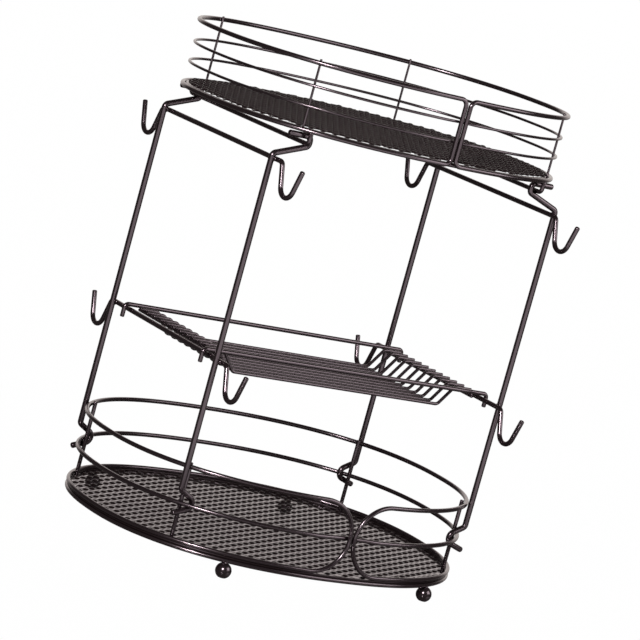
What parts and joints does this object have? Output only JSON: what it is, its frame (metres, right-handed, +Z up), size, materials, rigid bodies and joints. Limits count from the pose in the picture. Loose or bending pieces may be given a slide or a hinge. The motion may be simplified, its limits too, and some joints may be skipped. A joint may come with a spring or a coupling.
{
  "type": "two-tier wire counter rack",
  "caption": "Free-standing wire rack: an oval mesh-floored basket below and above, side frames with mug hooks, and a lift-off wire tray shelf between them.",
  "frame": {"origin": "on the ground under the middle of the rack, level with the flats of the feet", "axes": "+Z up, -Y towards the front where the basket loops meet, +X to the right seen from the front"},
  "size_m": [0.341, 0.2764, 0.421],
  "materials": {
    "coated_wire": "satin gloss dark bronze powder coat",
    "mesh_floor": "satin dark bronze powder coat on expanded mesh"
  },
  "bodies": {
    "rack": {"bottom_base_ring": "coated_wire", "bottom_floor": "mesh_floor", "bottom_lower_rail": "coated_wire", "bottom_mid_rail": "coated_wire", "bottom_round_end_left": "coated_wire", "bottom_round_end_right": "coated_wire", "bottom_upper_rail": "coated_wire", "bottom_upright_back_left": "coated_wire", "bottom_upright_back_right": "coated_wire", "bottom_upright_front_left": "coated_wire", "bottom_upright_front_right": "coated_wire", "foot_back_left": "coated_wire", "foot_back_right": "coated_wire", "foot_front_left": "coated_wire", "foot_front_right": "coated_wire", "hook_bar_middle_left": "coated_wire", "hook_bar_middle_right": "coated_wire", "hook_bar_upper_left": "coated_wire", "hook_bar_upper_right": "coated_wire", "post_back_left": "coated_wire", "post_back_right": "coated_wire", "post_front_left": "coated_wire", "post_front_right": "coated_wire", "top_base_ring": "coated_wire", "top_floor": "mesh_floor", "top_lower_rail": "coated_wire", "top_square_end_left": "coated_wire", "top_square_end_right": "coated_wire", "top_thin_ring_lower": "coated_wire", "top_thin_ring_upper": "coated_wire", "top_under_bar_left": "coated_wire", "top_under_bar_right": "coated_wire", "top_upper_rail": "coated_wire", "top_upright_back_left": "coated_wire", "top_upright_back_right": "coated_wire", "top_upright_front_left": "coated_wire", "top_upright_front_right": "coated_wire"},
    "shelf": {"shelf_cross_wire_left": "coated_wire", "shelf_cross_wire_right": "coated_wire", "shelf_rail_back": "coated_wire", "shelf_rail_front": "coated_wire", "shelf_tray_wire_01": "coated_wire", "shelf_tray_wire_02": "coated_wire", "shelf_tray_wire_03": "coated_wire", "shelf_tray_wire_04": "coated_wire", "shelf_tray_wire_05": "coated_wire", "shelf_tray_wire_06": "coated_wire", "shelf_tray_wire_07": "coated_wire", "shelf_tray_wire_08": "coated_wire", "shelf_tray_wire_09": "coated_wire", "shelf_tray_wire_10": "coated_wire", "shelf_tray_wire_11": "coated_wire"}
  },
  "joints": [
    {"name": "shelf_lift", "type": "slide", "parent": "rack", "child": "shelf", "axis": [0, 0, 1], "range_m": [0, 0.12]}
  ]
}
